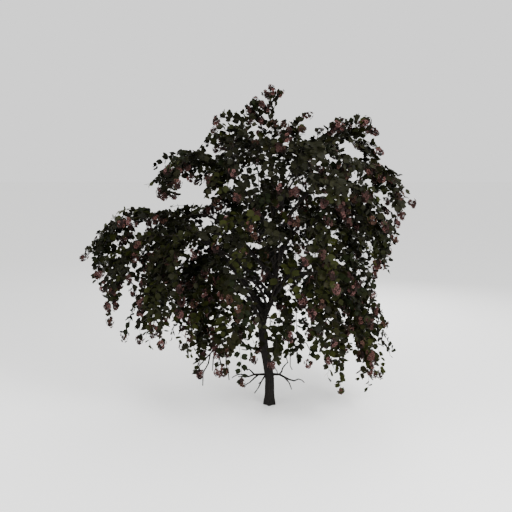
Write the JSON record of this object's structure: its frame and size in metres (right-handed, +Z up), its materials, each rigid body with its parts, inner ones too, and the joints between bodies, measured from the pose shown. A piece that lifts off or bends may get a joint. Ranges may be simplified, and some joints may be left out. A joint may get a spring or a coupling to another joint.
{
  "type": "orchid tree",
  "caption": "Whole orchid tree in bloom with a bare lower trunk, arching boughs and weeping leafy masses hung with clusters of small blossoms.",
  "frame": {"origin": "middle of the flat cut under the trunk, at ground level", "axes": "+Z up the tree; seen from -Y, as in the picture, +X is to the right and +Y away"},
  "size_m": [5.8318, 4.004, 5.9027],
  "materials": {
    "bark": "rough dark grey-brown bark with shallow upright ridges",
    "foliage": "dull deep green two-lobed leaves with dusky pink and brown-orange blossoms"
  },
  "bodies": {
    "root": {"bare_twig_back": "bark", "bare_twig_front_left": "bark", "bare_twig_high_left": "bark", "bare_twig_high_right": "bark", "bare_twig_left": "bark", "bare_twig_right": "bark", "bough_left_back": "bark", "bough_left_far": "bark", "bough_left_front": "bark", "bough_left_middle": "bark", "bough_low_back_left": "bark", "bough_low_back_right": "bark", "bough_low_front_left": "bark", "bough_low_front_right": "bark", "bough_low_left": "bark", "bough_low_right": "bark", "bough_mid_back": "bark", "bough_mid_back_left": "bark", "bough_mid_back_right": "bark", "bough_mid_front_left": "bark", "bough_mid_front_right": "bark", "bough_mid_right": "bark", "bough_right_shoulder": "bark", "bough_upper_front_right": "bark", "bough_upper_left": "bark", "bough_upper_right": "bark", "foliage_crown_left": "foliage", "foliage_crown_right": "foliage", "foliage_inner_right": "foliage", "foliage_left_back": "foliage", "foliage_left_far": "foliage", "foliage_left_front": "foliage", "foliage_left_middle": "foliage", "foliage_low_back": "foliage", "foliage_low_back_left": "foliage", "foliage_low_back_right": "foliage", "foliage_low_front": "foliage", "foliage_low_front_left": "foliage", "foliage_low_front_right": "foliage", "foliage_low_inner": "foliage", "foliage_low_left": "foliage", "foliage_low_right": "foliage", "foliage_mid_back": "foliage", "foliage_mid_back_left": "foliage", "foliage_mid_back_right": "foliage", "foliage_mid_front": "foliage", "foliage_mid_front_left": "foliage", "foliage_mid_front_right": "foliage", "foliage_mid_right": "foliage", "foliage_right_shoulder": "foliage", "foliage_right_sprig": "foliage", "foliage_top": "foliage", "foliage_upper_back_left": "foliage", "foliage_upper_back_right": "foliage", "foliage_upper_front": "foliage", "foliage_upper_front_left": "foliage", "foliage_upper_front_right": "foliage", "foliage_upper_left": "foliage", "foliage_upper_right": "foliage", "trunk": "bark"}
  },
  "joints": []
}
